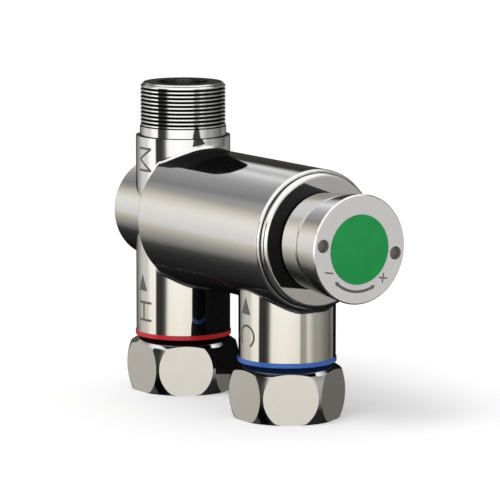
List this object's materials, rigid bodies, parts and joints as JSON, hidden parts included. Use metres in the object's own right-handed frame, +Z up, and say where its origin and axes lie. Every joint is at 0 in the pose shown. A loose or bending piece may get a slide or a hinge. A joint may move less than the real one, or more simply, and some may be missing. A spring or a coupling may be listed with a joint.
{
  "type": "thermostatic mixing valve",
  "caption": "Chrome thermostatic mixing valve: a barrel with a hot and a cold tube on union nuts below, a threaded outlet above and a temperature knob at its end.",
  "frame": {"origin": "centre of the hot union nut's mouth, on the plane that both nuts stand on", "axes": "+Z up along the hot inlet and the outlet, +X along the barrel towards the knob, the letters face -Y"},
  "size_m": [0.1128, 0.0426, 0.0963],
  "materials": {
    "chrome_plate": "bright polished chrome plate over brass",
    "satin_chrome": "polished side with a satin grey face",
    "nickel_plate": "dull nickel plate over brass",
    "bare_brass": "machined brass",
    "copper": "drawn copper",
    "spring_steel": "bright stainless wire and sheet",
    "white_resin": "moulded acetal resin",
    "black_rubber": "smooth sealing rubber",
    "fibre": "dense fibre rubber gasket",
    "hot_red": "glossy red plastic",
    "cold_blue": "glossy blue plastic",
    "green_plastic": "glossy green plastic"
  },
  "bodies": {
    "valve": {"valve_body": "chrome_plate", "bonnet": "chrome_plate", "return_spring": "spring_steel", "cold_seat_ring": "bare_brass", "cartridge_sleeve": "white_resin", "outlet_seal": "black_rubber", "middle_seal": "black_rubber", "cold_end_seal": "black_rubber", "bonnet_seal": "black_rubber", "hot_marker_ring": "hot_red", "hot_tailpiece": "nickel_plate", "hot_gasket": "fibre", "hot_strainer": "spring_steel", "hot_check_housing": "white_resin", "hot_check_seal": "black_rubber", "hot_check_spring": "spring_steel", "cold_marker_ring": "cold_blue", "cold_tailpiece": "nickel_plate", "cold_gasket": "fibre", "cold_strainer": "spring_steel", "cold_check_housing": "white_resin", "cold_check_seal": "black_rubber", "cold_check_spring": "spring_steel"},
    "knob": {"temperature_knob": "satin_chrome", "knob_cap": "green_plastic", "knob_screw": "spring_steel", "spindle": "bare_brass", "spindle_seal": "black_rubber", "circlip": "spring_steel"},
    "regulator": {"regulating_nut": "bare_brass", "overload_spring": "spring_steel", "snap_ring": "spring_steel"},
    "thrust": {"thrust_cup": "bare_brass", "wax_pin": "spring_steel"},
    "shuttle_group": {"shuttle": "white_resin", "shuttle_seal": "black_rubber", "wax_element": "copper"},
    "hot_nut": {"hot_union_nut": "chrome_plate"},
    "cold_nut": {"cold_union_nut": "chrome_plate"},
    "hot_check": {"hot_poppet": "white_resin"},
    "cold_check": {"cold_poppet": "white_resin"}
  },
  "joints": [
    {"name": "knob_turn", "type": "hinge", "parent": "valve", "child": "knob", "pos_m": [0.085, 0, 0.0555], "axis": [1, 0, 0], "range_deg": [-145, 145]},
    {"name": "regulator_slide", "type": "slide", "parent": "valve", "child": "regulator", "axis": [1, 0, 0], "range_m": [-0.0012, 0.0012]},
    {"name": "overload_slide", "type": "slide", "parent": "regulator", "child": "thrust", "axis": [1, 0, 0], "range_m": [0, 0.0018], "stiffness_N_per_m": 600, "springref_m": -0.002, "deforming": ["overload_spring"]},
    {"name": "shuttle_slide", "type": "slide", "parent": "valve", "child": "shuttle_group", "axis": [-1, 0, 0], "range_m": [0, 0.003], "stiffness_N_per_m": 300, "springref_m": -0.003, "deforming": ["return_spring"]},
    {"name": "hot_nut_turn", "type": "hinge", "parent": "valve", "child": "hot_nut", "pos_m": [0, 0, 0.008], "axis": [0, 0, 1], "continuous": true},
    {"name": "cold_nut_turn", "type": "hinge", "parent": "valve", "child": "cold_nut", "pos_m": [0.0574, 0, 0.008], "axis": [0, 0, 1], "continuous": true},
    {"name": "hot_poppet_slide", "type": "slide", "parent": "valve", "child": "hot_check", "axis": [0, 0, 1], "range_m": [0, 0.003], "stiffness_N_per_m": 40, "springref_m": -0.002, "deforming": ["hot_check_spring"]},
    {"name": "cold_poppet_slide", "type": "slide", "parent": "valve", "child": "cold_check", "axis": [0, 0, 1], "range_m": [0, 0.003], "stiffness_N_per_m": 40, "springref_m": -0.002, "deforming": ["cold_check_spring"]}
  ],
  "couplings": [
    {"joint": "regulator_slide", "follows": "knob_turn", "m_per_rad": 0.00047}
  ]
}
